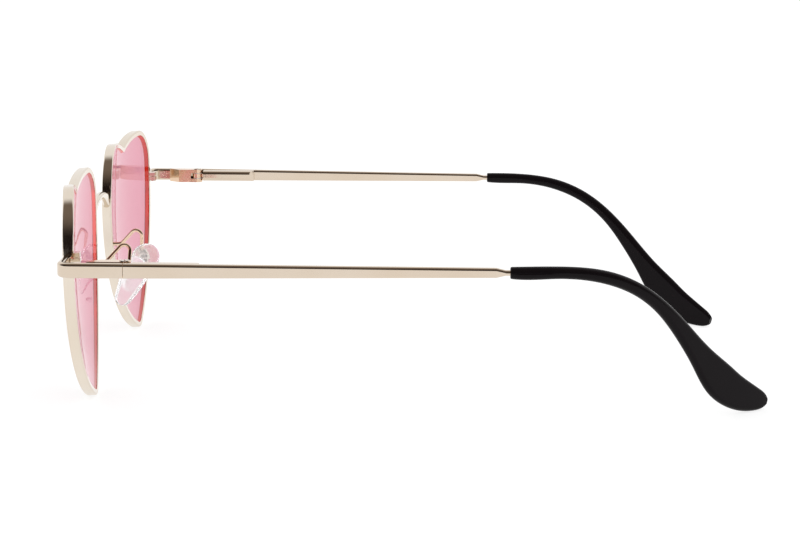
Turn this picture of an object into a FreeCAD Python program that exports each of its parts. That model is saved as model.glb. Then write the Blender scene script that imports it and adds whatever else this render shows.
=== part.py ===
import FreeCAD, Part
import math
import os

# Heart-shaped metal sunglasses with curved tinted lenses, spring hinges and soft nose pads.
# Millimetres. +X is the wearer's left, the front looks along -Y, +Z is up.
# The left half is modelled and mirrored in the plane X = 0.

# Overall sizes
front_width = 139.0        # over the outer faces of the two endpieces
lens_centre_x = 34.6       # median plane to the upright centre line of each heart
lens_tilt = 4.0            # degrees, the top of the front leans forward
lens_wrap = 3.3            # degrees, the outer side of each lens is swept back
bar_z = 33.2               # height of the temples above the table
curve_r = 140.0            # base curve of the lenses and rims, bulging forward
curve_z = 23.5             # height of the pole of that curve
curve_reach = 24.5         # distance from the pole where it meets the lens plane
hinge_y = 11.6            # from the lens plane back to the joint line of the temples

# Heart outline of the rim, half of it: four tangent arcs and the fillet in the cleft
point_r = 5.6              # bottom point
flank_r = 34.5             # long flank
lobe_x = 14.0              # centre of the lobe from the heart's centre line
lobe_z = 36.7
lobe_r = 10.1              # outer shoulder of the lobe
crown_r = 42.0             # from the top of the lobe down to the cleft
cleft_r = 1.4

# Rim wire and lens
rim_depth = 2.2            # front to back
rim_wall = 1.2             # radial
rim_edge_r = 0.35
groove_depth = 0.5
groove_width = 1.0
lens_thickness = 2.0
lens_gap = 0.03            # lens to rim all round
rim_slit = 0.14            # cut through the rim at the closing block

# Closing block behind the outer side of the rim
lock_height = 0.9          # each half
lock_width = 2.1
lock_depth = 1.3
lock_rise = 0.8            # slit above the middle of the endpiece
lock_inset = 1.1           # overlap of the block on the back of the rim
lock_seat = 0.25           # depth of the block beside the rim
lock_screw_r = 0.35
lock_head_r = 0.6
lock_head_h = 0.3

# Bridge
bridge_z = 37.5            # middle of the bar, at the median plane
bridge_height = 1.4        # there
bridge_foot = 3.6          # height where it meets the rims
bridge_depth = 1.5
bridge_rise = 1.8          # its upper edge arches up from the rims to the middle
bridge_edge_r = 0.55

# Endpiece and temple bar
bar_height = 3.0
bar_thickness = 1.4
bar_edge_r = 0.6
corner_r = 2.0             # middle line of the bend between the front and the side
butt_gap = 0.1             # joint line between the endpiece and the temple

# Spring hinge
knuckle_r = 1.25
knuckle_height = 0.9
eye_height = 1.1
washer_height = 0.12
hinge_play = 0.02          # between the stacked pieces, and round the screw
hinge_side_gap = 0.1       # knuckle to the inside of the temple
fork_length = 7.2          # from the screw forward along the endpiece
fork_slot = 0.35           # eye to the root of the slot
hinge_screw_r = 0.6
hinge_head_r = 0.95
hinge_head_h = 0.5
hinge_head_sunk = 0.35
screw_slot_w = 0.22
box_gap = 0.3              # knuckle to the front of the spring box
box_length = 13.0
box_height = 2.6
box_depth = 2.5
box_edge_r = 0.85
box_taper = 1.0            # length of the sloped rear end
box_tail = 1.5             # depth left at the rear end
bore_r = 0.85
bore_length = 9.6
bush_length = 1.6
shank_w = 0.9              # square shank of the tongue
shank_gap = 0.03
rod_r = 0.4
spring_length = 5.4
spring_gap = 0.05
collar_length = 0.7

# Temple
temple_length = 72.2       # straight bar, joint line to the start of the neck
temple_inset = 1.5         # the bar closes in towards the rear
rear_height = 2.0
rear_thickness = 1.3
rear_edge_r = 0.55
neck_taper = 1.8
neck_length = 0.9          # bare core between the bar and the tip
core_r = 0.57
core_length = 10.0         # inside the tip

# Bent tip: turn down, turn in, and the flattened paddle
tip_length = 73.2
tip_down = 48.25           # degrees
tip_down_start = 4.1
tip_down_end = 45.7
tip_lift = 34.0            # degrees, the paddle flattens out again
tip_lift_start = 52.1
tip_in = 34.5              # degrees, mostly in the first part of the tip
tip_in_end = 48.0
tip_mouth_w = 2.4
tip_mouth_t = 2.3
tip_mouth_r = 0.3          # rounded edge of the mouth
tip_waist_w = 2.7          # at tip_waist along the tip
tip_waist = 28.0
tip_paddle_w = 7.7         # widest, at tip_paddle along the tip
tip_paddle = 58.7
tip_paddle_t = 2.0
tip_end_w = 1.8
tip_end_t = 1.2
core_gap = 0.03
core_end_gap = 0.5

# Nose pad, its boss and the box that holds it
pad_x = 9.4                # back of the pad, at the pad screw
pad_y = 5.15
pad_z = 21.6
pad_splay = 25.0           # degrees, the front edges come closer together
pad_frontal = 15.0         # degrees, the top edges come closer together
pad_lean = 21.0            # degrees, the narrow end points forward
pad_upper_r = 3.3
pad_lower_r = 1.9
pad_above = 0.6            # centre of the broad end above the screw
pad_below = 5.9            # centre of the narrow end below the screw
pad_thickness = 2.0
pad_dome_r = 16.0
boss_w = 1.3
boss_h = 1.5
boss_d = 1.5
pad_screw_back = 0.8       # pad screw behind the back of the pad
pad_screw_r = 0.3
pad_head_r = 0.5
pad_head_h = 0.3
box_wall = 0.35
boss_play = 0.05
boss_swing = 1.05          # free radius behind the boss
pad_box_h = 2.2
pad_box_lip = 0.45         # walls of the box in front of the screw

# Pad arm: a bent wire from the back of the rim to the top of the pad box
arm_r = 0.42
arm_root_z = 24.5
arm_out = 1.9              # straight foot behind the rim
arm_bend_r = 1.3
arm_top_z = 30.4           # where the rising and the falling leg would meet
arm_lead = 0.4             # that place in front of the pad box

V = FreeCAD.Vector
NODES = {}


def rotation(axis, angle):
    return FreeCAD.Rotation(axis, angle)


def moved(shape, rot, at):
    """A copy of a shape, turned about the origin and then shifted."""
    out = shape.copy()
    out.Placement = FreeCAD.Placement(at, rot).multiply(out.Placement)
    return out


def block(x0, x1, y0, y1, z0, z1):
    return Part.makeBox(x1 - x0, y1 - y0, z1 - z0, V(x0, y0, z0))


def rod(base, axis, radius, length):
    return Part.makeCylinder(radius, length, base, axis)


def polar(cx, cz, radius, angle):
    return V(cx + radius * math.cos(angle), 0, cz + radius * math.sin(angle))


def arc_edge(cx, cz, radius, a0, a1):
    """Arc in the XZ plane about (cx, cz)."""
    ends = polar(cx, cz, radius, a0), polar(cx, cz, radius, a1)
    return Part.Arc(ends[0], polar(cx, cz, radius, (a0 + a1) / 2), ends[1]).toShape()


def flank_centre():
    """Centre of the flank arc, tangent inside to the bottom point and to the shoulder."""
    d = math.hypot(lobe_x, lobe_z - point_r)
    r0 = flank_r - point_r
    r1 = flank_r - lobe_r
    along = (d * d + r0 * r0 - r1 * r1) / (2 * d)
    off = math.sqrt(r0 * r0 - along * along)
    ux = lobe_x / d
    uz = (lobe_z - point_r) / d
    return along * ux - off * uz, point_r + along * uz + off * ux


def heart_wire(inset):
    """Closed heart in the XZ plane, every arc moved in by the same inset."""
    fx, fz = flank_centre()
    a_low = math.atan2(point_r - fz, -fx)
    a_high = math.atan2(lobe_z - fz, lobe_x - fx)
    crown_z = lobe_z + lobe_r - crown_r
    cleft_z = crown_z + math.sqrt((crown_r + cleft_r) ** 2 - lobe_x ** 2)
    a_cleft = math.atan2(cleft_z - crown_z, -lobe_x)
    up = math.pi / 2
    half = [
        arc_edge(0, point_r, point_r - inset, -up, a_low),
        arc_edge(fx, fz, flank_r - inset, a_low, a_high),
        arc_edge(lobe_x, lobe_z, lobe_r - inset, a_high, up),
        arc_edge(lobe_x, crown_z, crown_r - inset, up, a_cleft),
        arc_edge(0, cleft_z, cleft_r + inset, a_cleft - math.pi, -up),
    ]
    other = [e.mirror(V(0, 0, 0), V(1, 0, 0)) for e in half]
    return Part.Wire(Part.__sortEdges__(half + other))


def heart_prism(inset, depth):
    face = Part.Face(heart_wire(inset))
    face.translate(V(0, -depth / 2, 0))
    return face.extrude(V(0, depth, 0))


def curve_centre():
    """Centre of the base curve, behind the lens."""
    return V(0, math.sqrt(curve_r ** 2 - curve_reach ** 2), curve_z)


def curve_y(u, z):
    """Depth of the curved middle surface at a place on one lens."""
    centre = curve_centre()
    return centre.y - math.sqrt(curve_r ** 2 - u ** 2 - (z - centre.z) ** 2)


def heart_plate(inset, depth):
    """Heart-shaped plate of even thickness on the base curve."""
    front = Part.makeSphere(curve_r + depth / 2, curve_centre())
    back = Part.makeSphere(curve_r - depth / 2, curve_centre())
    return heart_prism(inset, 6 * rim_depth).common(front).cut(back)


def heart_side(z):
    """Half width of the heart's outline at a height on the flank or the shoulder."""
    fx, fz = flank_centre()
    joint_z = fz + (lobe_z - fz) * flank_r / (flank_r - lobe_r)
    if z < joint_z:
        return fx + math.sqrt(flank_r ** 2 - (z - fz) ** 2)
    return lobe_x + math.sqrt(lobe_r ** 2 - (z - lobe_z) ** 2)


def on_front(shape):
    """Tilt, sweep back and shift a piece drawn on the plane of one lens."""
    turn = rotation(V(0, 0, 1), lens_wrap).multiply(rotation(V(1, 0, 0), lens_tilt))
    return moved(shape, turn, V(lens_centre_x, 0, 0))


def front_point(u, back, z):
    """Place on one lens, at a depth behind the curved middle surface."""
    turn = rotation(V(0, 0, 1), lens_wrap).multiply(rotation(V(1, 0, 0), lens_tilt))
    return turn.multVec(V(u, curve_y(u, z) + back, z)) + V(lens_centre_x, 0, 0)


def bar_wire(x, y, z, thickness, height, radius):
    """Rounded rectangle across the bar, on the plane of one y."""
    t = thickness / 2 - radius
    h = height / 2 - radius
    edges = []
    corners = [(t, h, 0), (-t, h, 90), (-t, -h, 180), (t, -h, 270)]
    for i, (cx, cz, start) in enumerate(corners):
        a0 = math.radians(start)
        edges.append(arc_edge(x + cx, z + cz, radius, a0, a0 + math.pi / 2))
        nx, nz, nstart = corners[(i + 1) % 4]
        p = polar(x + cx, z + cz, radius, a0 + math.pi / 2)
        q = polar(x + nx, z + nz, radius, math.radians(nstart))
        edges.append(Part.LineSegment(p, q).toShape())
    wire = Part.Wire(edges)
    wire.translate(V(0, y, 0))
    return wire


def rounded_path(points, radius):
    """Straight runs joined by tangent arcs."""
    edges = []
    start = points[0]
    for i in range(1, len(points) - 1):
        here = points[i]
        back = (points[i - 1] - here).normalize()
        on = (points[i + 1] - here).normalize()
        half = back.getAngle(on) / 2
        trim = radius / math.tan(half)
        p = here + back * trim
        q = here + on * trim
        middle = (back + on).normalize()
        m = here + middle * (radius / math.sin(half) - radius)
        edges.append(Part.LineSegment(start, p).toShape())
        edges.append(Part.Arc(p, m, q).toShape())
        start = q
    edges.append(Part.LineSegment(start, points[-1]).toShape())
    return Part.Wire(edges)


def wire_tube(path, radius):
    first = path.Edges[0]
    at = first.valueAt(first.FirstParameter)
    along = first.tangentAt(first.FirstParameter)
    ring = Part.Wire(Part.makeCircle(radius, at, along))
    return path.makePipeShell([ring], True, False)


def slotted_screw(at, axis, radius, length, head_r, head_h, across):
    """Screw whose head stands on the point at, with the shank running along -axis."""
    head = rod(at, axis, head_r, head_h)
    shank = rod(at - axis * length, axis, radius, length)
    cut_h = head_h * 0.45
    slot = Part.makeBox(4 * head_r, screw_slot_w, cut_h, V(-2 * head_r, -screw_slot_w / 2, 0))
    slot = moved(slot, rotation(V(0, 0, 1), across), V(0, 0, 0))
    slot = moved(slot, rotation(V(0, 0, 1), axis), at + axis * (head_h - cut_h))
    return head.fuse(shank).cut(slot).removeSplitter()


def keep(name, shape):
    solids = shape.Solids
    if len(solids) != 1:
        raise ValueError("%s has %d solids" % (name, len(solids)))
    NODES["left_" + name] = solids[0]
    NODES["right_" + name] = solids[0].mirror(V(0, 0, 0), V(1, 0, 0))


def ease(x):
    x = min(max(x, 0.0), 1.0)
    return x * x * (3 - 2 * x)


# Places shared by the pieces of the hinge
outer_x = front_width / 2
bar_x = outer_x - bar_thickness / 2
inner_x = outer_x - bar_thickness
pin_x = inner_x - hinge_side_gap - knuckle_r
pin_y = hinge_y + butt_gap / 2
stack = eye_height / 2 + hinge_play
knuckle_low = stack + washer_height + hinge_play
fork_top = bar_z + knuckle_low + knuckle_height
fork_low = bar_z - knuckle_low - knuckle_height
box_y = pin_y + knuckle_r + box_gap
rear_x = bar_x - temple_inset
neck_y = hinge_y + butt_gap + temple_length
core_y = neck_y + neck_taper
mouth_y = core_y + neck_length
slit_z = bar_z + lock_rise


def make_front():
    """Rim, lens, closing block, endpiece and bridge."""
    body = heart_plate(0, rim_depth)
    edges = [e for e in body.Edges if e.Curve.TypeId != "Part::GeomLine"]
    outer = body.makeFillet(rim_edge_r, edges)
    opening = heart_prism(rim_wall, 6 * rim_depth)
    groove = heart_plate(rim_wall - groove_depth, groove_width)
    side = heart_side(slit_z)
    half_slit = rim_slit / 2
    reach = lock_width + rim_wall + groove_depth
    slit = block(side - reach, side + reach, -reach, reach, slit_z - half_slit, slit_z + half_slit)
    rim = outer.cut(opening).cut(groove).cut(slit)
    keep("rim", on_front(rim))

    body = heart_plate(rim_wall + lens_gap, lens_thickness)
    tongue = heart_plate(rim_wall - groove_depth + lens_gap, groove_width - 2 * lens_gap)
    keep("lens", on_front(body.fuse(tongue).removeSplitter()))

    back = curve_y(side, slit_z) + rim_depth / 2
    seat_y = back - lock_seat
    x0 = side - lock_inset
    x1 = x0 + lock_width
    top = slit_z + half_slit
    low = slit_z - half_slit
    upper = block(x0, x1, seat_y, back + lock_depth, top, top + lock_height).cut(outer)
    lower = block(x0, x1, seat_y, back + lock_depth, low - lock_height, low).cut(outer)
    screw_at = V(x0 + lock_width / 2, back + lock_depth / 2, low - lock_height)
    shank = 2 * lock_height + rim_slit
    hole = rod(screw_at, V(0, 0, 1), lock_screw_r, shank)
    screw = slotted_screw(screw_at, V(0, 0, -1), lock_screw_r, shank, lock_head_r, lock_head_h, 30)
    keep("lock_upper", on_front(upper.cut(hole)))
    keep("lock_lower", on_front(lower.cut(hole)))
    keep("lock_screw", on_front(screw))

    # The bar of the endpiece leaves the rim, turns the corner and runs back to the joint line.
    rim_side = front_point(heart_side(bar_z) - rim_wall / 2, 0, bar_z)
    points = [V(rim_side.x, rim_side.y, bar_z), V(bar_x, rim_side.y, bar_z), V(bar_x, hinge_y, bar_z)]
    path = rounded_path(points, corner_r)
    section = bar_wire(0, 0, 0, bar_thickness, bar_height, bar_edge_r)
    section = moved(section, rotation(V(0, 0, 1), -90), points[0])
    bar = path.makePipeShell([section], True, False)
    relief = heart_prism(-rim_slit, 6 * rim_depth)
    above = block(0, outer_x, -rim_depth * 3, rim_depth * 3, low, slit_z + bar_height)
    bar = bar.cut(on_front(outer)).cut(on_front(relief.common(above)))
    bar = max(bar.Solids, key=lambda s: s.Volume)
    keep("endpiece", bar)

    # Bridge: a low arch that spreads towards its feet, rounded along its edges.
    high_z = bridge_z + bridge_height / 2
    foot_z = high_z - bridge_rise - bridge_foot
    end_z = foot_z + bridge_foot / 2
    nasal = front_point(-heart_side(end_z) + rim_wall / 2, 0, end_z)
    ends = [V(x, 0, z) for x in (-nasal.x, nasal.x) for z in (high_z - bridge_rise, foot_z)]
    high_arc = Part.Arc(ends[0], V(0, 0, high_z), ends[2]).toShape()
    low_arc = Part.Arc(ends[1], V(0, 0, high_z - bridge_height), ends[3]).toShape()
    sides = [Part.LineSegment(ends[0], ends[1]).toShape(), Part.LineSegment(ends[2], ends[3]).toShape()]
    strip = Part.Face(Part.Wire(Part.__sortEdges__([low_arc, high_arc] + sides)))
    strip.translate(V(0, nasal.y - bridge_depth / 2, 0))
    bridge = strip.extrude(V(0, bridge_depth, 0))
    long_edges = [e for e in bridge.Edges if e.Length > nasal.x]
    bridge = bridge.makeFillet(bridge_edge_r, long_edges)
    seat = on_front(outer)
    bridge = bridge.cut(seat).cut(seat.mirror(V(0, 0, 0), V(1, 0, 0)))
    NODES["bridge"] = max(bridge.Solids, key=lambda s: s.Volume)


def make_hinge():
    """Fork on the endpiece, screw, washers, tongue, spring, collar, bush and spring box."""
    up = V(0, 0, 1)
    pin = V(pin_x, pin_y, bar_z)

    # Fork: a block along the inside of the endpiece that ends in two round knuckles.
    front_y = pin_y - fork_length
    slope_y = front_y + fork_length * 0.35
    thin_x = inner_x - bar_thickness * 0.4
    deep_x = pin_x - knuckle_r
    stop_y = hinge_y - hinge_side_gap
    plan = [V(inner_x, front_y, 0), V(thin_x, front_y, 0), V(deep_x, slope_y, 0), V(deep_x, pin_y, 0),
            V(pin_x, pin_y, 0), V(inner_x, stop_y, 0), V(inner_x, front_y, 0)]
    plate = Part.Face(Part.makePolygon(plan))
    plate.translate(V(0, 0, fork_low))
    fork = plate.extrude(V(0, 0, fork_top - fork_low))
    fork = fork.fuse(rod(V(pin_x, pin_y, fork_low), up, knuckle_r, fork_top - fork_low))
    slot_y = pin_y - knuckle_r - fork_slot
    gap = block(deep_x - 1, inner_x + 1, slot_y, pin_y + 2 * knuckle_r, bar_z - knuckle_low, bar_z + knuckle_low)
    hole = rod(V(pin_x, pin_y, fork_low), up, hinge_screw_r + hinge_play, fork_top - fork_low)
    seat_z = fork_top - hinge_head_sunk
    sink = rod(V(pin_x, pin_y, seat_z), up, hinge_head_r + hinge_play, hinge_head_sunk)
    keep("hinge_fork", fork.cut(gap).cut(hole).cut(sink).removeSplitter())

    length = seat_z - fork_low
    screw = slotted_screw(V(pin_x, pin_y, seat_z), up, hinge_screw_r, length, hinge_head_r, hinge_head_h, 20)
    keep("hinge_screw", screw)

    hole_r = hinge_screw_r + hinge_play
    for name, z in (("upper", bar_z + stack), ("lower", bar_z - stack - washer_height)):
        at = V(pin_x, pin_y, z)
        washer = rod(at, up, knuckle_r, washer_height).cut(rod(at, up, hole_r, washer_height))
        keep("hinge_washer_" + name, washer)

    # Tongue: eye, square shank and round rod in one piece.
    low = V(pin_x, pin_y, bar_z - eye_height / 2)
    eye = rod(low, up, knuckle_r, eye_height)
    half = shank_w / 2
    shank_end = box_y + bush_length - spring_gap
    shank = block(pin_x - half, pin_x + half, pin_y, shank_end, bar_z - half, bar_z + half)
    collar_y = box_y + bush_length + spring_length
    stem = rod(V(pin_x, shank_end - half, bar_z), V(0, 1, 0), rod_r, collar_y + collar_length - shank_end + half)
    tongue = eye.fuse(shank).fuse(stem).cut(rod(low, up, hole_r, eye_height)).removeSplitter()
    keep("hinge_tongue", tongue)

    along = V(0, 1, 0)
    outer_r = bore_r - spring_gap
    at = V(pin_x, box_y + bush_length, bar_z)
    spring = rod(at, along, outer_r, spring_length).cut(rod(at, along, rod_r + spring_gap, spring_length))
    keep("hinge_spring", spring)
    at = V(pin_x, collar_y, bar_z)
    keep("spring_collar", rod(at, along, outer_r, collar_length).cut(rod(at, along, rod_r, collar_length)))

    at = V(pin_x, box_y, bar_z)
    bush = rod(at, along, bore_r, bush_length)
    hole = half + shank_gap
    bush = bush.cut(block(pin_x - hole, pin_x + hole, box_y, box_y + bush_length, bar_z - hole, bar_z + hole))
    keep("guide_bush", bush)

    # Spring box: its plan tapers to the rear, its inner edges are rounded.
    skin_x = pin_x - box_depth / 2
    end_y = box_y + box_length
    deep = bar_thickness / 2
    plan = [V(bar_x, box_y, 0), V(skin_x, box_y, 0), V(skin_x, end_y - box_taper, 0),
            V(inner_x - temple_inset * box_length / temple_length - box_tail + deep / 2, end_y, 0),
            V(bar_x - deep, end_y, 0), V(bar_x, box_y, 0)]
    plate = Part.Face(Part.makePolygon(plan))
    plate.translate(V(0, 0, bar_z - box_height / 2))
    housing = plate.extrude(V(0, 0, box_height))
    inner = [e for e in housing.Edges
             if abs(e.CenterOfMass.x - skin_x) < 1e-6 and e.Length > box_length / 2]
    housing = housing.makeFillet(box_edge_r, inner)
    housing = housing.cut(rod(at, along, bore_r, bore_length))
    return housing


def core_tube(radius, start_y, length):
    """Round core wire: straight through the neck, then bent in with the tip."""
    bend_r = tip_in_end / (2 * math.radians(tip_in))
    turn = length / bend_r
    mouth = V(rear_x, mouth_y, bar_z)
    points = [mouth + V(bend_r * (math.cos(a) - 1), bend_r * math.sin(a), 0) for a in (turn / 2, turn)]
    straight = Part.LineSegment(V(rear_x, start_y, bar_z), mouth).toShape()
    bent = Part.Arc(mouth, points[0], points[1]).toShape()
    return wire_tube(Part.Wire([straight, bent]), radius)


def make_temple(housing):
    """Straight bar, neck and core, and the box seated on its inner face."""
    y0 = hinge_y + butt_gap
    core_w = 2 * core_r
    wires = [
        bar_wire(bar_x, y0, bar_z, bar_thickness, bar_height, bar_edge_r),
        bar_wire(rear_x, neck_y, bar_z, rear_thickness, rear_height, rear_edge_r),
        bar_wire(rear_x, core_y, bar_z, core_w, core_w, core_r * 0.9),
    ]
    bar = Part.makeLoft(wires, True, True)
    core = core_tube(core_r, neck_y + neck_taper / 2, core_length)
    temple = bar.fuse(core).removeSplitter()
    keep("temple", temple)
    housing = max(housing.cut(bar).Solids, key=lambda s: s.Volume)
    keep("spring_box", housing)


def tip_angles(s):
    down = tip_down * ease((s - tip_down_start) / (tip_down_end - tip_down_start))
    lift = tip_lift * ease((s - tip_lift_start) / (tip_length - tip_lift_start))
    inward = tip_in * (1 - (1 - min(s / tip_in_end, 1.0)) ** 2)
    return math.radians(down - lift), math.radians(inward)


def tip_place(s):
    """Point on the middle line of the tip, and its directions along, across and sideways."""
    steps = 200
    at = V(rear_x, mouth_y, bar_z)
    for i in range(steps):
        down, inward = tip_angles(s * (i + 0.5) / steps)
        at = at + V(-math.cos(down) * math.sin(inward), math.cos(down) * math.cos(inward),
                    -math.sin(down)) * (s / steps)
    down, inward = tip_angles(s)
    along = V(-math.cos(down) * math.sin(inward), math.cos(down) * math.cos(inward), -math.sin(down))
    across = V(-math.sin(down) * math.sin(inward), math.sin(down) * math.cos(inward), math.cos(down))
    return at, along, across, along.cross(across)


def tip_section(s, width, thickness):
    """Flat-sided oval across the tip: two straight sides and four quarter arcs."""
    at, along, across, side = tip_place(s)
    r = thickness / 2
    w = width / 2 - r

    def point(a, b):
        return at + across * a + side * b

    k = r * math.sqrt(0.5)
    rim = [point(w, r), point(w + k, k), point(w + r, 0), point(w + k, -k), point(w, -r),
           point(-w, -r), point(-w - k, -k), point(-w - r, 0), point(-w - k, k), point(-w, r)]
    edges = [
        Part.Arc(rim[0], rim[1], rim[2]).toShape(),
        Part.Arc(rim[2], rim[3], rim[4]).toShape(),
        Part.LineSegment(rim[4], rim[5]).toShape(),
        Part.Arc(rim[5], rim[6], rim[7]).toShape(),
        Part.Arc(rim[7], rim[8], rim[9]).toShape(),
        Part.LineSegment(rim[9], rim[0]).toShape(),
    ]
    return Part.Wire(edges)


def tip_size(s):
    """Width and thickness along the tip: even, then flaring to the paddle, then rounding off."""
    if s <= tip_waist:
        x = ease(s / tip_waist)
        return tip_mouth_w + (tip_waist_w - tip_mouth_w) * x, tip_mouth_t
    if s <= tip_paddle:
        x = (s - tip_waist) / (tip_paddle - tip_waist)
        width = tip_waist_w + (tip_paddle_w - tip_waist_w) * x * x
        return width, tip_mouth_t + (tip_paddle_t - tip_mouth_t) * ease(x)
    x = (s - tip_paddle) / (tip_length - tip_paddle)
    round_off = max(0.0, 1 - x * x) ** 0.65
    return tip_end_w + (tip_paddle_w - tip_end_w) * round_off, tip_end_t + (tip_paddle_t - tip_end_t) * round_off


def make_tip():
    flare = tip_paddle - tip_waist
    round_off = tip_length - tip_paddle
    stations = [tip_mouth_r, tip_waist / 3, tip_waist * 2 / 3, tip_waist]
    stations += [tip_waist + flare * k / 4 for k in (1, 2, 3, 4)]
    stations += [tip_paddle + round_off * math.sin(k * math.pi / 10) for k in (1, 2, 3, 4, 5)]
    wires = [tip_section(s, *tip_size(s)) for s in stations]
    body = Part.makeLoft(wires, True, False)

    # Lip of the mouth, rounded in three steps
    lip = []
    for angle in (0, 30, 60, 90):
        s = tip_mouth_r * (1 - math.cos(math.radians(angle)))
        inset = 2 * tip_mouth_r * (1 - math.sin(math.radians(angle)))
        width, thickness = tip_size(s)
        lip.append(tip_section(s, width - inset, thickness - inset))
    body = body.fuse(Part.makeLoft(lip, True, True)).removeSplitter()
    bore = core_tube(core_r + core_gap, core_y, core_length + core_end_gap)
    keep("temple_tip", body.cut(bore))


def pad_placement():
    """Turn of the pad: splayed in plan and slanted seen from the front."""
    return rotation(V(0, 0, 1), -pad_splay).multiply(rotation(V(0, 1, 0), -pad_frontal))


def on_pad(shape):
    return moved(shape, pad_placement(), V(pad_x, pad_y, pad_z))


def make_pads():
    """Drop-shaped pad, its boss, the box, the screw and the wire arm."""
    # Outline drawn in the YZ plane about the screw, its long axis leaning forward at the bottom.
    low_y = -pad_below * math.sin(math.radians(pad_lean))
    low_z = -pad_below * math.cos(math.radians(pad_lean))
    top_y = pad_above * math.sin(math.radians(pad_lean))
    top_z = pad_above * math.cos(math.radians(pad_lean))
    span = pad_above + pad_below
    open_angle = math.acos((pad_upper_r - pad_lower_r) / span)
    axis = math.atan2(low_z - top_z, low_y - top_y)

    def at(cy, cz, radius, angle):
        return V(0, cy + radius * math.cos(angle), cz + radius * math.sin(angle))

    a0 = axis + open_angle
    a1 = axis - open_angle
    far = axis + math.pi
    p0 = at(top_y, top_z, pad_upper_r, a0)
    p1 = at(top_y, top_z, pad_upper_r, a1)
    q0 = at(low_y, low_z, pad_lower_r, a0)
    q1 = at(low_y, low_z, pad_lower_r, a1)
    edges = [
        Part.Arc(p0, at(top_y, top_z, pad_upper_r, (a0 + far) / 2), at(top_y, top_z, pad_upper_r, far)).toShape(),
        Part.Arc(at(top_y, top_z, pad_upper_r, far),
                 at(top_y, top_z, pad_upper_r, (far + a1 + 2 * math.pi) / 2), p1).toShape(),
        Part.LineSegment(p1, q1).toShape(),
        Part.Arc(q1, at(low_y, low_z, pad_lower_r, axis), q0).toShape(),
        Part.LineSegment(q0, p0).toShape(),
    ]
    face = Part.Face(Part.Wire(Part.__sortEdges__(edges)))
    pad = face.extrude(V(-pad_thickness, 0, 0))
    crown = V(pad_dome_r - pad_thickness, (low_y + top_y) / 2, (low_z + top_z) / 2)
    pad = pad.common(Part.makeSphere(pad_dome_r, crown))
    keep("nose_pad", on_pad(pad))

    along = V(0, 1, 0)
    half = boss_w / 2
    wall_in = half + boss_play
    wall_out = wall_in + box_wall
    boss = block(0, boss_d, -half, half, -boss_h / 2, boss_h / 2)
    hole_r = pad_screw_r + hinge_play
    hole = rod(V(pad_screw_back, -wall_out, 0), along, hole_r, 2 * wall_out)
    keep("pad_boss", on_pad(boss.cut(hole)))

    lip = pad_screw_back - pad_box_lip
    inside = pad_screw_back + boss_swing
    outside = inside + box_wall
    shell = block(lip, outside, -wall_out, wall_out, -pad_box_h / 2, pad_box_h / 2)
    channel = block(lip - 1, inside, -wall_in, wall_in, -pad_box_h, pad_box_h)
    fit = rod(V(pad_screw_back, -wall_out, 0), along, pad_screw_r, 2 * wall_out)
    keep("pad_box", on_pad(shell.cut(channel).cut(fit)))
    screw = slotted_screw(V(pad_screw_back, wall_out, 0), along, pad_screw_r, 2 * wall_out,
                          pad_head_r, pad_head_h, 40)
    keep("pad_screw", on_pad(screw))

    # Arm: a foot out of the back of the rim, a rising leg, a round bend, and down on the box.
    root_u = -heart_side(arm_root_z) + rim_wall / 2
    root = front_point(root_u, 0, arm_root_z)
    leave = front_point(root_u, rim_depth / 2 + arm_out, arm_root_z)
    seat = pad_placement().multVec(V(inside, 0, pad_box_h / 2)) + V(pad_x, pad_y, pad_z)
    up = pad_placement().multVec(V(0, 0, 1))
    above = seat + up * ((arm_top_z - seat.z) / up.z) - V(0, arm_lead, 0)
    path = rounded_path([root, leave, above, seat - up * arm_r], arm_bend_r)
    tube = wire_tube(path, arm_r)
    rim = NODES["left_rim"]
    tube = tube.cut(rim).cut(on_pad(shell))
    keep("pad_arm", max(tube.Solids, key=lambda s: s.Volume))


def main():
    make_front()
    housing = make_hinge()
    make_temple(housing)
    make_tip()
    make_pads()

    # The finished part stands on the table, with its origin under the middle of its box.
    box = FreeCAD.BoundBox()
    for shape in NODES.values():
        box.add(shape.optimalBoundingBox(False, False))
    shift = V(0, -(box.YMin + box.YMax) / 2, -box.ZMin)
    os.makedirs("parts", exist_ok=True)
    for name, shape in NODES.items():
        shape.translate(shift)
        shape.exportStep("parts/%s.step" % name)
    print("nodes", len(NODES), "size", box.XLength, box.YLength, box.ZLength)
    print("shift", shift.y, shift.z)
    print("hinge axis", pin_x, pin_y + shift.y, bar_z + shift.z)
    axis = pad_placement().multVec(V(0, 1, 0))
    middle = pad_placement().multVec(V(pad_screw_back, 0, 0)) + V(pad_x, pad_y, pad_z) + shift
    print("pad axis", tuple(middle), tuple(axis))


main()
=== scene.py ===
import math

import bpy
from bpy.props import FloatProperty, FloatVectorProperty, IntProperty, PointerProperty
from mathutils import Matrix, Vector


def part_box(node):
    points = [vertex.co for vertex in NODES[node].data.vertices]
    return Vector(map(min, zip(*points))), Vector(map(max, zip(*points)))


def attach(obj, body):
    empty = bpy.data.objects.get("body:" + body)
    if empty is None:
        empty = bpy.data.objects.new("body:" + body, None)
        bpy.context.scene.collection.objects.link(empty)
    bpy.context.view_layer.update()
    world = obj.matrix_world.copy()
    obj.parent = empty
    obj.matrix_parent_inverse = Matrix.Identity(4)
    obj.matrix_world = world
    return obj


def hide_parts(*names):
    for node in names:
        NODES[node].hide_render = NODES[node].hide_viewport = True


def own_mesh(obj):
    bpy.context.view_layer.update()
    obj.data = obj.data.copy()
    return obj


bl_info = {
    "name": "Heart sunglasses dresser",
    "version": (1, 0, 0),
    "blender": (4, 5, 0),
    "location": "View3D > Sidebar > Eyewear",
    "description": "Dresses the heart-shaped sunglasses with metal, lens, tip and pad finishes",
    "category": "Object",
}

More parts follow.
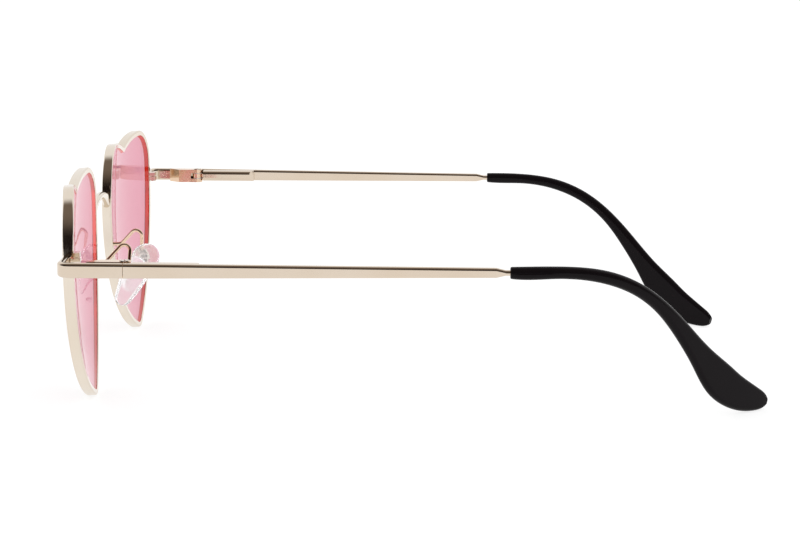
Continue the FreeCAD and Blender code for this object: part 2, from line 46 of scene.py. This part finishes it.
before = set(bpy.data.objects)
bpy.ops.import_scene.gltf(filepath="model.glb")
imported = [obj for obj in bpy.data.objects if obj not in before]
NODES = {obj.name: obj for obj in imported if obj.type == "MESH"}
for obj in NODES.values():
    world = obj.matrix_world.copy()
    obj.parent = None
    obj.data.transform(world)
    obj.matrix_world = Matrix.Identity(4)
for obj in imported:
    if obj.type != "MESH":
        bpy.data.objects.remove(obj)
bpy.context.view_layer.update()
SIDES = ("left", "right")
MM = 0.001

WHITE = (1.0, 1.0, 1.0, 1.0)

# Width of the photograph's frame in pixels, and of the camera's sensor in millimetres
PHOTO_WIDTH = 800
SENSOR_WIDTH = 36.0

# Grain of the finishes, in noise cells per metre
PLATING_CLOUDS = 45.0
PLATING_MOTTLE = 420.0
POLISH_MARKS = 2600.0
STEEL_TONE = 900.0
TURNING_MARKS = 5200.0
NYLON_GRAIN = 3200.0
LENS_HAZE = 160.0
EDGE_STRETCHES = 75.0
TIP_CLOUDS = 240.0
TIP_ORANGE_PEEL = 1500.0
PAD_CLOUDS = 380.0
PLUG_GRAIN = 1800.0

# Depth of the finishes' relief
METAL_RELIEF = 0.02 * MM
TIP_RELIEF = 0.03 * MM

# Area lamps: place in metres and power in watts
LAMP_SIZE = 1.0
LAMP_AIM = (0.0, 0.0, 0.02)
LAMPS = {
    "key_lamp": ((-0.9, -0.9, 1.3), 6.0),
    "fill_lamp": ((-0.7, 1.0, 1.1), 4.0),
    "near_lamp": ((1.1, 0.2, 1.3), 3.0),
}


def both(*names):
    """Node names of both sides for the given pieces."""
    return [side + "_" + name for side in SIDES for name in names]


class Wire:
    """An output socket that takes part in Python arithmetic through Math nodes."""

    def __init__(self, paint, socket):
        self.paint = paint
        self.socket = socket

    def math(self, operation, other, flipped=False):
        first, second = (other, self) if flipped else (self, other)
        return self.paint.node("ShaderNodeMath", {"operation": operation}, {0: first, 1: second})

    def __add__(self, other):
        return self.math("ADD", other)

    def __radd__(self, other):
        return self.math("ADD", other, True)

    def __sub__(self, other):
        return self.math("SUBTRACT", other)

    def __rsub__(self, other):
        return self.math("SUBTRACT", other, True)

    def __mul__(self, other):
        return self.math("MULTIPLY", other)


class Paint:
    """A node tree with one method that adds a node, and the parts that the finishes share."""

    def __init__(self, tree):
        self.tree = tree
        self.tree.nodes.clear()

    def node(self, kind, settings=None, inputs=None, output=0):
        made = self.tree.nodes.new(kind)
        for key, value in (settings or {}).items():
            setattr(made, key, value)
        for key, value in (inputs or {}).items():
            if isinstance(value, Wire):
                self.tree.links.new(value.socket, made.inputs[key])
            else:
                made.inputs[key].default_value = value
        return Wire(self, made.outputs[output]) if len(made.outputs) else None

    def place(self):
        return self.node("ShaderNodeTexCoord", output="Object")

    def noise(self, where, scale, detail=2.0):
        wanted = {"Vector": where, "Scale": scale, "Detail": detail}
        return self.node("ShaderNodeTexNoise", {}, wanted, "Fac")

    def stretched(self, where, scale):
        return self.node("ShaderNodeMapping", {}, {"Vector": where, "Scale": scale})

    def axis(self, where, name):
        return self.node("ShaderNodeSeparateXYZ", {}, {0: where}, name)

    def ray(self, kind):
        return self.node("ShaderNodeLightPath", output=kind)

    def fade(self, value, low, high):
        return self.node("ShaderNodeMapRange", {"interpolation_type": "SMOOTHSTEP"},
                         {"Value": value, "From Min": low, "From Max": high})

    def blend(self, share, first, second):
        return self.node("ShaderNodeMix", {"data_type": "RGBA"}, {0: share, 6: first, 7: second}, 2)

    def bump(self, height, strength, depth):
        wanted = {"Height": height, "Strength": strength, "Distance": depth}
        return self.node("ShaderNodeBump", {}, wanted)


def new_material(name):
    material = bpy.data.materials.new(name)
    material.use_nodes = True
    return material, Paint(material.node_tree)


def finish_surface(paint, **inputs):
    """A Principled surface on the material's output, each socket a constant or a wire."""
    named = {key.replace("_", " "): value for key, value in inputs.items()}
    surface = paint.node("ShaderNodeBsdfPrincipled", {}, named)
    return paint.node("ShaderNodeOutputMaterial", {}, {"Surface": surface})


def opaque(colour):
    return (colour[0], colour[1], colour[2], 1.0)


def grey(level):
    return (level, level, level, 1.0)


def looking(place, target):
    """Matrix of a lamp or camera that stands at place and looks at target."""
    aim = Vector(target) - Vector(place)
    return Matrix.Translation(place) @ aim.to_track_quat("-Z", "Y").to_matrix().to_4x4()


def dress(names, material):
    """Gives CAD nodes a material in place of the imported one."""
    for name in names:
        slots = NODES[name].data.materials
        slots.clear()
        slots.append(material)


class FinishSettings(bpy.types.PropertyGroup):
    rim_gold: FloatVectorProperty(
        name="Rim gold", description="Pale plating of the rims and bridge", subtype="COLOR",
        default=(0.78, 0.705, 0.61), min=0.0, max=1.0)
    # A darker copy of the same plating as the rims: painted shade on the endpieces and temples
    shaded_bar_gold: FloatVectorProperty(
        name="Bar gold", description="Plating of the endpieces and temples", subtype="COLOR",
        default=(0.70, 0.60, 0.495), min=0.0, max=1.0)
    # A warmer copy of the same plating: painted reflection, the orange interreflections of the curved pad
    # arms and hinge leaves
    glint_warmed_gold: FloatVectorProperty(
        name="Arm gold", description="Warmer plating of the pad arms and hinge leaves", subtype="COLOR",
        default=(0.80, 0.60, 0.45), min=0.0, max=1.0)
    steel: FloatVectorProperty(
        name="Steel", description="Tone of the screws, collars and springs", subtype="COLOR",
        default=(0.70, 0.64, 0.56), min=0.0, max=1.0)
    lens_tint: FloatVectorProperty(
        name="Lens tint", description="Colour of the lens faces", subtype="COLOR",
        default=(0.78, 0.58, 0.65), min=0.0, max=1.0)
    lens_body: FloatVectorProperty(
        name="Lens body", description="Colour that light keeps along a path inside the lens",
        subtype="COLOR", default=(0.93, 0.26, 0.42), min=0.0, max=1.0)
    lens_density: FloatProperty(
        name="Lens density", description="How fast the lens body takes up light, per metre",
        default=240.0, min=0.0)
    # Emission colour of the lens edges: painted light, a glow standing in for the red light the ground
    # edge gathers
    lens_edge_painted_glow: FloatVectorProperty(
        name="Lens edge", description="Red that gathers in the ground edge of each lens",
        subtype="COLOR", default=(0.82, 0.035, 0.012), min=0.0, max=1.0)
    # Deep red of the edge's own surface, and also the painted shade where its painted glow turns dark
    lens_edge_red_and_painted_shade: FloatVectorProperty(
        name="Lens edge, dark", description="Deeper red of the same edge where less light reaches it",
        subtype="COLOR", default=(0.48, 0.008, 0.002), min=0.0, max=1.0)
    tip_black: FloatVectorProperty(
        name="Tip black", description="Colour of the ear tips", subtype="COLOR",
        default=(0.0052, 0.0036, 0.0044), min=0.0, max=1.0)
    # Tint of the pad silicone, and also the colour of its painted glow
    pad_tint_and_painted_glow: FloatVectorProperty(
        name="Pad silicone", description="Tint of the clear nose pads", subtype="COLOR",
        default=(0.965, 0.955, 0.965), min=0.0, max=1.0)


class LensSettings(bpy.types.PropertyGroup):
    curve_centre: FloatVectorProperty(
        name="Curve centre", description="Centre of the left lens's base curve",
        subtype="TRANSLATION", unit="LENGTH", default=(26.779 * MM, 67.226 * MM, 33.209 * MM))
    curve_r: FloatProperty(
        name="Base curve", description="Radius of the lens's middle surface",
        subtype="DISTANCE", unit="LENGTH", default=140.0 * MM)
    edge_half: FloatProperty(
        name="Edge depth", description="What lies nearer than this to the middle surface is edge",
        subtype="DISTANCE", unit="LENGTH", default=0.75 * MM)
    # Heights where the painted edge glow turns into its painted shade, towards the point and the top of
    # the heart
    low_end: FloatVectorProperty(
        name="Lower end", description="Heights where the edge turns dark towards the point of the heart",
        size=2, unit="LENGTH", default=(4.0 * MM, 14.0 * MM))
    high_end: FloatVectorProperty(
        name="Upper end", description="Heights where the edge turns dark towards the top of the heart",
        size=2, unit="LENGTH", default=(36.0 * MM, 44.0 * MM))


class SpringSettings(bpy.types.PropertyGroup):
    turns: IntProperty(
        name="Turns", description="Turns of the coil spring in each spring box", default=8, min=2)
    turn_steps: IntProperty(
        name="Steps", description="Mesh steps round one turn", default=28, min=8)
    wire_sides: IntProperty(
        name="Wire sides", description="Mesh sides of the round wire", default=14, min=6)
    wire_r: FloatProperty(
        name="Wire radius", description="Radius of the spring's wire",
        subtype="DISTANCE", unit="LENGTH", default=0.17 * MM, min=0.05 * MM)
    end_gap: FloatProperty(
        name="End gap", description="Room at each end of the spring",
        subtype="DISTANCE", unit="LENGTH", default=0.03 * MM)
    travel: FloatProperty(
        name="Travel", description="How much the spring shortens when the temple is flexed all the way",
        subtype="DISTANCE", unit="LENGTH", default=0.6283 * MM)


class PadSettings(bpy.types.PropertyGroup):
    voxel: FloatProperty(
        name="Mesh step", description="Step of the pad's remeshed surface",
        subtype="DISTANCE", unit="LENGTH", default=0.13 * MM, min=0.05 * MM)
    weld: FloatProperty(
        name="Weld", description="Corners of the plain solid nearer than this become one",
        subtype="DISTANCE", unit="LENGTH", default=0.002 * MM)
    softness: FloatProperty(
        name="Edge softness", description="How far each pass rounds the moulded edges",
        subtype="FACTOR", default=0.5, min=0.0, max=1.0)
    passes: IntProperty(
        name="Passes", description="How often the moulded edges are rounded", default=14, min=0)


class StageSettings(bpy.types.PropertyGroup):
    camera_place: FloatVectorProperty(
        name="Camera", description="Where the camera stands",
        subtype="TRANSLATION", unit="LENGTH", default=(0.4549, -0.00049, 0.10555))
    camera_target: FloatVectorProperty(
        name="Target", description="Point in the middle of the picture",
        subtype="TRANSLATION", unit="LENGTH", default=(0.0, -0.00367, 0.02185))
    camera_roll: FloatProperty(
        name="Roll", description="Turn of the camera about its own axis",
        subtype="ANGLE", unit="ROTATION", default=math.radians(0.442))
    focal_pixels: FloatProperty(
        name="Focal length", description="Focal length in pixels of the photograph's frame",
        default=2032.87)
    floor_near: FloatProperty(
        name="Table edge", description="From the object to the near edge of the white table",
        subtype="DISTANCE", unit="LENGTH", default=0.62)
    floor_far: FloatProperty(
        name="Table reach", description="Reach of the table on the other sides",
        subtype="DISTANCE", unit="LENGTH", default=6.0)
    floor_drop: FloatProperty(
        name="Table drop", description="How far the table lies under the object",
        subtype="DISTANCE", unit="LENGTH", default=0.02 * MM)
    room_dark: FloatVectorProperty(
        name="Dark room", description="Unlit room behind the camera, as polished metal shows it",
        subtype="COLOR", default=(0.014, 0.009, 0.008), min=0.0, max=1.0)
    room_brown: FloatVectorProperty(
        name="Room above", description="Dim brown room over the camera, as polished metal shows it",
        subtype="COLOR", default=(0.19, 0.15, 0.12), min=0.0, max=1.0)


class EYEWEAR_OT_metal(bpy.types.Operator):
    """Gives the frame, hinges and arms their plating, the screws bright steel and the washers nylon"""
    bl_idname = "eyewear.metal"
    bl_label = "Metal"

    def execute(self, context):
        look = context.scene.eyewear_finish
        rims = ["bridge"] + both("rim", "lock_upper", "lock_lower")
        bars = both("endpiece", "guide_bush", "spring_box", "temple")
        dress(rims, self.gold("rim_gold", look.rim_gold))
        dress(both("pad_box", "pad_screw"), self.gold("satin_gold", look.rim_gold, rough=0.4))
        dress(both("pad_arm", "hinge_fork", "hinge_tongue"), self.gold("glint_warmed_gold", look.glint_warmed_gold))
        dress(bars, self.gold("shaded_bar_gold", look.shaded_bar_gold))
        dress(both("lock_screw", "hinge_screw", "spring_collar"), self.steel(look))
        dress(both("hinge_washer_upper", "hinge_washer_lower"), self.nylon())
        return {"FINISHED"}

    def gold(self, name, tone, rough=0.05):
        """Plating with broad warm clouds, a fine mottle and polishing marks along the temples."""
        material, paint = new_material(name)
        place = paint.place()
        warm = (tone[0] * 0.95, tone[1] * 0.92, tone[2] * 0.88)
        along = (1.0, 0.06, 1.0)
        clouds = paint.fade(paint.noise(place, PLATING_CLOUDS), 0.35, 0.65)
        mottle = paint.noise(place, PLATING_MOTTLE, detail=3.0)
        polish = paint.noise(paint.stretched(place, along), POLISH_MARKS)
        finish_surface(
            paint,
            Base_Color=paint.blend(clouds * 0.7 + mottle * 0.3, opaque(tone), opaque(warm)),
            Metallic=1.0,
            Roughness=rough + mottle * 0.05 + polish * 0.03,
            Normal=paint.bump(polish, 0.06, METAL_RELIEF),
        )
        return material

    def steel(self, look):
        """Bright steel with turning marks and a little of the plating's tone."""
        material, paint = new_material("bright_steel")
        place = paint.place()
        flat_rings = (1.0, 1.0, 0.2)
        turned = paint.noise(paint.stretched(place, flat_rings), TURNING_MARKS)
        tone = paint.noise(place, STEEL_TONE)
        finish_surface(
            paint,
            Base_Color=paint.blend(tone, opaque(look.steel), opaque(look.shaded_bar_gold)),
            Metallic=1.0,
            Roughness=0.12 + turned * 0.12,
            Normal=paint.bump(turned, 0.1, METAL_RELIEF),
        )
        return material

    def nylon(self):
        material, paint = new_material("washer_nylon")
        pale = (0.82, 0.82, 0.79, 1.0)
        dull = (0.70, 0.70, 0.67, 1.0)
        grain = paint.noise(paint.place(), NYLON_GRAIN)
        finish_surface(paint, Base_Color=paint.blend(grain, pale, dull), Roughness=0.4 + grain * 0.15)
        return material


class EYEWEAR_OT_springs(bpy.types.Operator):
    """Winds the coil spring in each spring box and attaches it to its tongue"""
    bl_idname = "eyewear.springs"
    bl_label = "Springs"

    def execute(self, context):
        sizes = context.scene.eyewear_springs
        for side in SIDES:
            low, high = [Vector(corner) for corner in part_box(side + "_hinge_spring")]
            coil = self.wound(side + "_coil_spring", low, high, sizes)
            coil.data.materials.append(bpy.data.materials["bright_steel"])
            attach(coil, side + "_tongue")
            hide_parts(side + "_hinge_spring")
            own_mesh(coil)
        return {"FINISHED"}

    def wound(self, name, low, high, sizes):
        """A round wire wound along Y in the space of the plain sleeve, with closed ends."""
        middle = (low + high) / 2
        coil_r = (high.z - low.z) / 2 - sizes.wire_r
        start = sizes.wire_r + sizes.end_gap
        upright = (math.radians(90), 0.0, 0.0)
        along_y = (math.radians(-90), 0.0, 0.0)
        bpy.ops.object.select_all(action="DESELECT")
        bpy.ops.mesh.primitive_circle_add(
            vertices=sizes.wire_sides, radius=sizes.wire_r, location=(coil_r, 0.0, 0.0), rotation=upright)
        coil = bpy.context.object
        coil.name = name
        bpy.ops.object.transform_apply(location=True, rotation=True, scale=True)
        wind = coil.modifiers.new("wind", "SCREW")
        wind.axis = "Z"
        wind.steps = sizes.turn_steps
        wind.render_steps = sizes.turn_steps
        wind.iterations = sizes.turns
        wind.screw_offset = (high.y - low.y - 2 * start) / sizes.turns
        bpy.ops.object.modifier_apply(modifier=wind.name)
        bpy.ops.object.mode_set(mode="EDIT")
        bpy.ops.mesh.select_all(action="SELECT")
        bpy.ops.mesh.fill_holes(sides=sizes.wire_sides)
        bpy.ops.mesh.select_all(action="SELECT")
        bpy.ops.mesh.normals_make_consistent(inside=False)
        bpy.ops.object.mode_set(mode="OBJECT")
        coil.rotation_euler = along_y
        coil.location = (middle.x, low.y + start, middle.z)
        bpy.ops.object.transform_apply(location=True, rotation=True, scale=True)
        bpy.ops.object.shade_smooth()
        return coil


class EYEWEAR_OT_lenses(bpy.types.Operator):
    """Gives the curved lenses their clear pink tint and a painted red glow, by emission, on their ground
    edges
    """
    bl_idname = "eyewear.lenses"
    bl_label = "Lenses"

    def execute(self, context):
        look = context.scene.eyewear_finish
        sizes = context.scene.eyewear_lenses
        material, paint = new_material("pink_lens")
        place = paint.place()
        haze = paint.noise(place, LENS_HAZE, detail=3.0)
        deep = [share * 0.96 for share in look.lens_tint]
        surface = paint.node("ShaderNodeBsdfPrincipled", {}, {
            "Base Color": paint.blend(haze, opaque(look.lens_tint), opaque(deep)),
            "Roughness": paint.fade(haze, 0.62, 0.85) * 0.02,
            "IOR": 1.2,
            "Transmission Weight": 1.0,
        })
        # Ground edge: emission paints a red glow here, painted light in place of the light the edge
        # gathers
        ground = paint.node("ShaderNodeBsdfPrincipled", {}, {
            "Base Color": opaque(look.lens_edge_red_and_painted_shade),
            "Roughness": 0.45 + haze * 0.2,
            "Specular IOR Level": 0.0,
            "Emission Color": self.painted_edge_glow(paint, look, sizes),
            "Emission Strength": 0.9,
        })
        edge = self.edge_mask(paint, sizes)
        glass = paint.node("ShaderNodeMixShader", {}, {0: edge, 1: surface, 2: ground})
        body = paint.node("ShaderNodeVolumeAbsorption", {},
                          {"Color": opaque(look.lens_body), "Density": look.lens_density})
        paint.node("ShaderNodeOutputMaterial", {}, {"Surface": glass, "Volume": body})
        dress(both("lens"), material)
        return {"FINISHED"}

    def painted_edge_glow(self, paint, look, sizes):
        """Painted red glow of the edge, painted light that turns to painted shade at the two ends and in
        a few soft stretches along the edge.
        """
        place = paint.place()
        height = paint.axis(place, "Z")
        ends = 1.0 - paint.fade(height, *sizes.low_end) + paint.fade(height, *sizes.high_end)
        up_and_down = (0.3, 0.3, 1.0)
        stretch = paint.noise(paint.stretched(place, up_and_down), EDGE_STRETCHES)
        # Share of painted shade in the painted glow
        dark = paint.fade(stretch + ends * 0.2, 0.48, 0.64)
        return paint.blend(dark, opaque(look.lens_edge_painted_glow), opaque(look.lens_edge_red_and_painted_shade))

    def edge_mask(self, paint, sizes):
        """Mask of the painted edge glow: one on the ground edge and its bevel in the groove, and zero on
        the two curved faces.
        """
        place = paint.place()
        total = 0.0
        for axis, centre in zip("XYZ", sizes.curve_centre):
            value = paint.axis(place, axis)
            # The right lens mirrors the left one, so X counts without its sign
            offset = (value.math("ABSOLUTE", 0.0) if axis == "X" else value) - centre
            total = total + offset * offset
        depth = (total.math("POWER", 0.5) - sizes.curve_r).math("ABSOLUTE", 0.0)
        blur = 0.05 * MM
        bevel = 1.0 - paint.fade(depth, sizes.edge_half - blur, sizes.edge_half + blur)
        facing = paint.node("ShaderNodeTexCoord", output="Normal")
        forward = paint.axis(facing, "Y")
        sideways = paint.fade(1.0 - forward * forward, 0.45, 0.65)
        return bevel.math("MAXIMUM", sideways)


class EYEWEAR_OT_tips(bpy.types.Operator):
    """Gives the ear tips their glossy black plastic"""
    bl_idname = "eyewear.tips"
    bl_label = "Ear tips"

    def execute(self, context):
        look = context.scene.eyewear_finish
        material, paint = new_material("tip_plastic")
        place = paint.place()
        clouds = paint.noise(place, TIP_CLOUDS, detail=3.0)
        orange_peel = paint.noise(place, TIP_ORANGE_PEEL)
        warm = [share * 1.5 for share in look.tip_black]
        finish_surface(
            paint,
            Base_Color=paint.blend(clouds, opaque(look.tip_black), opaque(warm)),
            Roughness=0.2 + clouds * 0.1,
            Specular_IOR_Level=0.09,
            Normal=paint.bump(orange_peel, 0.05, TIP_RELIEF),
        )
        dress(both("temple_tip"), material)
        return {"FINISHED"}


class EYEWEAR_OT_pads(bpy.types.Operator):
    """Models the moulded silicone nose pads over their plain solids, with the clear plug in each"""
    bl_idname = "eyewear.pads"
    bl_label = "Nose pads"

    def execute(self, context):
        look = context.scene.eyewear_finish
        sizes = context.scene.eyewear_pads
        silicone = self.silicone(look)
        dress(both("pad_boss"), self.plug())
        for side in SIDES:
            pad = self.moulded(side, sizes)
            pad.data.materials.clear()
            pad.data.materials.append(silicone)
            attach(pad, side + "_pad")
            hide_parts(side + "_nose_pad")
        return {"FINISHED"}

    def moulded(self, side, sizes):
        """A merged copy of the plain solid, remeshed and with its edges rounded."""
        node = NODES[side + "_nose_pad"]
        bpy.ops.object.select_all(action="DESELECT")
        pad = bpy.data.objects.new(side + "_pad_silicone", node.data.copy())
        bpy.context.scene.collection.objects.link(pad)
        bpy.context.view_layer.objects.active = pad
        pad.select_set(True)
        bpy.ops.object.mode_set(mode="EDIT")
        bpy.ops.mesh.select_all(action="SELECT")
        bpy.ops.mesh.remove_doubles(threshold=sizes.weld)
        bpy.ops.mesh.normals_make_consistent(inside=False)
        bpy.ops.object.mode_set(mode="OBJECT")
        even = pad.modifiers.new("even", "REMESH")
        even.mode = "VOXEL"
        even.voxel_size = sizes.voxel
        bpy.ops.object.modifier_apply(modifier=even.name)
        soft = pad.modifiers.new("soft", "SMOOTH")
        soft.factor = sizes.softness
        soft.iterations = sizes.passes
        bpy.ops.object.modifier_apply(modifier=soft.name)
        bpy.ops.object.shade_smooth()
        return pad

    def silicone(self, look):
        """Clear silicone, a little milky, with a faint painted glow by emission that stands in for the
        light it scatters inside.
        """
        material, paint = new_material("clear_silicone")
        place = paint.place()
        clouds = paint.noise(place, PAD_CLOUDS, detail=3.0)
        milky = [share * 0.97 for share in look.pad_tint_and_painted_glow]
        finish_surface(
            paint,
            Base_Color=paint.blend(clouds, opaque(look.pad_tint_and_painted_glow), opaque(milky)),
            Roughness=0.10 + clouds * 0.10,
            IOR=1.3,
            Transmission_Weight=0.86,
            # Painted light: a faint emission glow in place of the light the silicone scatters
            Emission_Color=opaque(look.pad_tint_and_painted_glow),
            Emission_Strength=0.075,
        )
        return material

    def plug(self):
        material, paint = new_material("clear_plug")
        pale = (0.95, 0.93, 0.94, 1.0)
        dull = (0.88, 0.86, 0.87, 1.0)
        grain = paint.noise(paint.place(), PLUG_GRAIN)
        finish_surface(
            paint,
            Base_Color=paint.blend(grain, pale, dull),
            Roughness=0.15 + grain * 0.1,
            IOR=1.12,
            Transmission_Weight=1.0,
        )
        return material


class EYEWEAR_OT_stage(bpy.types.Operator):
    """Sets the white table, the soft light and the camera"""
    bl_idname = "eyewear.stage"
    bl_label = "Stage"

    def execute(self, context):
        sizes = context.scene.eyewear_stage
        context.scene.view_settings.view_transform = "Standard"
        self.table(sizes)
        self.room(context.scene, sizes)
        for name, (place, power) in LAMPS.items():
            self.lamp(name, place, power)
        self.camera(context.scene, sizes)
        return {"FINISHED"}

    def table(self, sizes):
        """A table that shows white to the camera and in reflections, and still takes the shadow."""
        near, far = sizes.floor_near, sizes.floor_far
        bpy.ops.object.select_all(action="DESELECT")
        bpy.ops.mesh.primitive_grid_add(x_subdivisions=2, y_subdivisions=2, size=1.0)
        table = bpy.context.object
        table.name = "white_table"
        table.scale = (near + far, 2 * far, 1.0)
        table.location = ((near - far) / 2, 0.0, -sizes.floor_drop)
        bpy.ops.object.transform_apply(location=True, rotation=True, scale=True)
        material, paint = new_material("table_white")
        seen = paint.ray("Is Camera Ray") + paint.ray("Is Glossy Ray") + paint.ray("Is Transmission Ray")
        paper = paint.node("ShaderNodeBsdfDiffuse", {}, {"Color": grey(0.86)})
        lifted = paint.node("ShaderNodeBsdfDiffuse", {}, {"Color": grey(0.32)})
        glow = paint.node("ShaderNodeEmission", {}, {"Color": WHITE, "Strength": 0.78})
        shown = paint.node("ShaderNodeAddShader", {}, {0: lifted, 1: glow})
        mixed = paint.node("ShaderNodeMixShader", {}, {0: seen, 1: paper, 2: shown})
        paint.node("ShaderNodeOutputMaterial", {}, {"Surface": mixed})
        table.data.materials.append(material)

    def room(self, scene, sizes):
        """White all round, apart from the dim room on the camera's side that polished metal shows."""
        world = bpy.data.worlds.new("studio")
        scene.world = world
        world.use_nodes = True
        paint = Paint(world.node_tree)
        direction = paint.node("ShaderNodeTexCoord", output="Generated")
        overhead = paint.fade(paint.axis(direction, "Z"), 0.1, 0.95)
        dim = paint.blend(overhead, opaque(sizes.room_dark), opaque(sizes.room_brown))
        near_side = paint.fade(paint.axis(direction, "X"), -0.30, 0.12)
        studio = paint.blend(near_side, WHITE, dim)
        colour = paint.blend(paint.ray("Is Glossy Ray"), WHITE, studio)
        strength = 1.0 - paint.ray("Is Diffuse Ray") * 0.35
        light = paint.node("ShaderNodeBackground", {}, {"Color": colour, "Strength": strength})
        paint.node("ShaderNodeOutputWorld", {}, {"Surface": light})

    def lamp(self, name, place, power):
        light = bpy.data.lights.new(name, "AREA")
        light.size = LAMP_SIZE
        light.energy = power
        lamp = bpy.data.objects.new(name, light)
        bpy.context.scene.collection.objects.link(lamp)
        lamp.matrix_world = looking(place, LAMP_AIM)
        lamp.visible_camera = False
        lamp.visible_glossy = False
        lamp.visible_transmission = False

    def camera(self, scene, sizes):
        lens = bpy.data.cameras.new("camera")
        lens.sensor_fit = "HORIZONTAL"
        lens.sensor_width = SENSOR_WIDTH
        lens.lens = sizes.focal_pixels * SENSOR_WIDTH / PHOTO_WIDTH
        lens.clip_start = 0.01
        camera = bpy.data.objects.new("camera", lens)
        scene.collection.objects.link(camera)
        roll = Matrix.Rotation(sizes.camera_roll, 4, "Z")
        camera.matrix_world = looking(sizes.camera_place, sizes.camera_target) @ roll
        scene.camera = camera


class EYEWEAR_PT_panel(bpy.types.Panel):
    """Lists the pieces and finishes in the sidebar"""
    bl_idname = "EYEWEAR_PT_panel"
    bl_label = "Heart sunglasses"
    bl_space_type = "VIEW_3D"
    bl_region_type = "UI"
    bl_category = "Eyewear"

    def draw(self, context):
        for operator in OPERATORS:
            self.layout.operator(operator.bl_idname)
        for group in GROUPS:
            for name in GROUPS[group].__annotations__:
                self.layout.prop(getattr(context.scene, group), name)


GROUPS = {
    "eyewear_finish": FinishSettings,
    "eyewear_springs": SpringSettings,
    "eyewear_lenses": LensSettings,
    "eyewear_pads": PadSettings,
    "eyewear_stage": StageSettings,
}
OPERATORS = (
    EYEWEAR_OT_metal,
    EYEWEAR_OT_springs,
    EYEWEAR_OT_lenses,
    EYEWEAR_OT_tips,
    EYEWEAR_OT_pads,
    EYEWEAR_OT_stage,
)


def register():
    for name, group in GROUPS.items():
        bpy.utils.register_class(group)
        setattr(bpy.types.Scene, name, PointerProperty(type=group))
    for operator in OPERATORS:
        bpy.utils.register_class(operator)
    bpy.utils.register_class(EYEWEAR_PT_panel)


def unregister():
    bpy.utils.unregister_class(EYEWEAR_PT_panel)
    for operator in reversed(OPERATORS):
        bpy.utils.unregister_class(operator)
    for name, group in GROUPS.items():
        delattr(bpy.types.Scene, name)
        bpy.utils.unregister_class(group)


def main():
    register()
    bpy.ops.eyewear.metal()
    bpy.ops.eyewear.springs()
    bpy.ops.eyewear.lenses()
    bpy.ops.eyewear.tips()
    bpy.ops.eyewear.pads()
    bpy.ops.eyewear.stage()


if __name__ == "__main__":
    main()
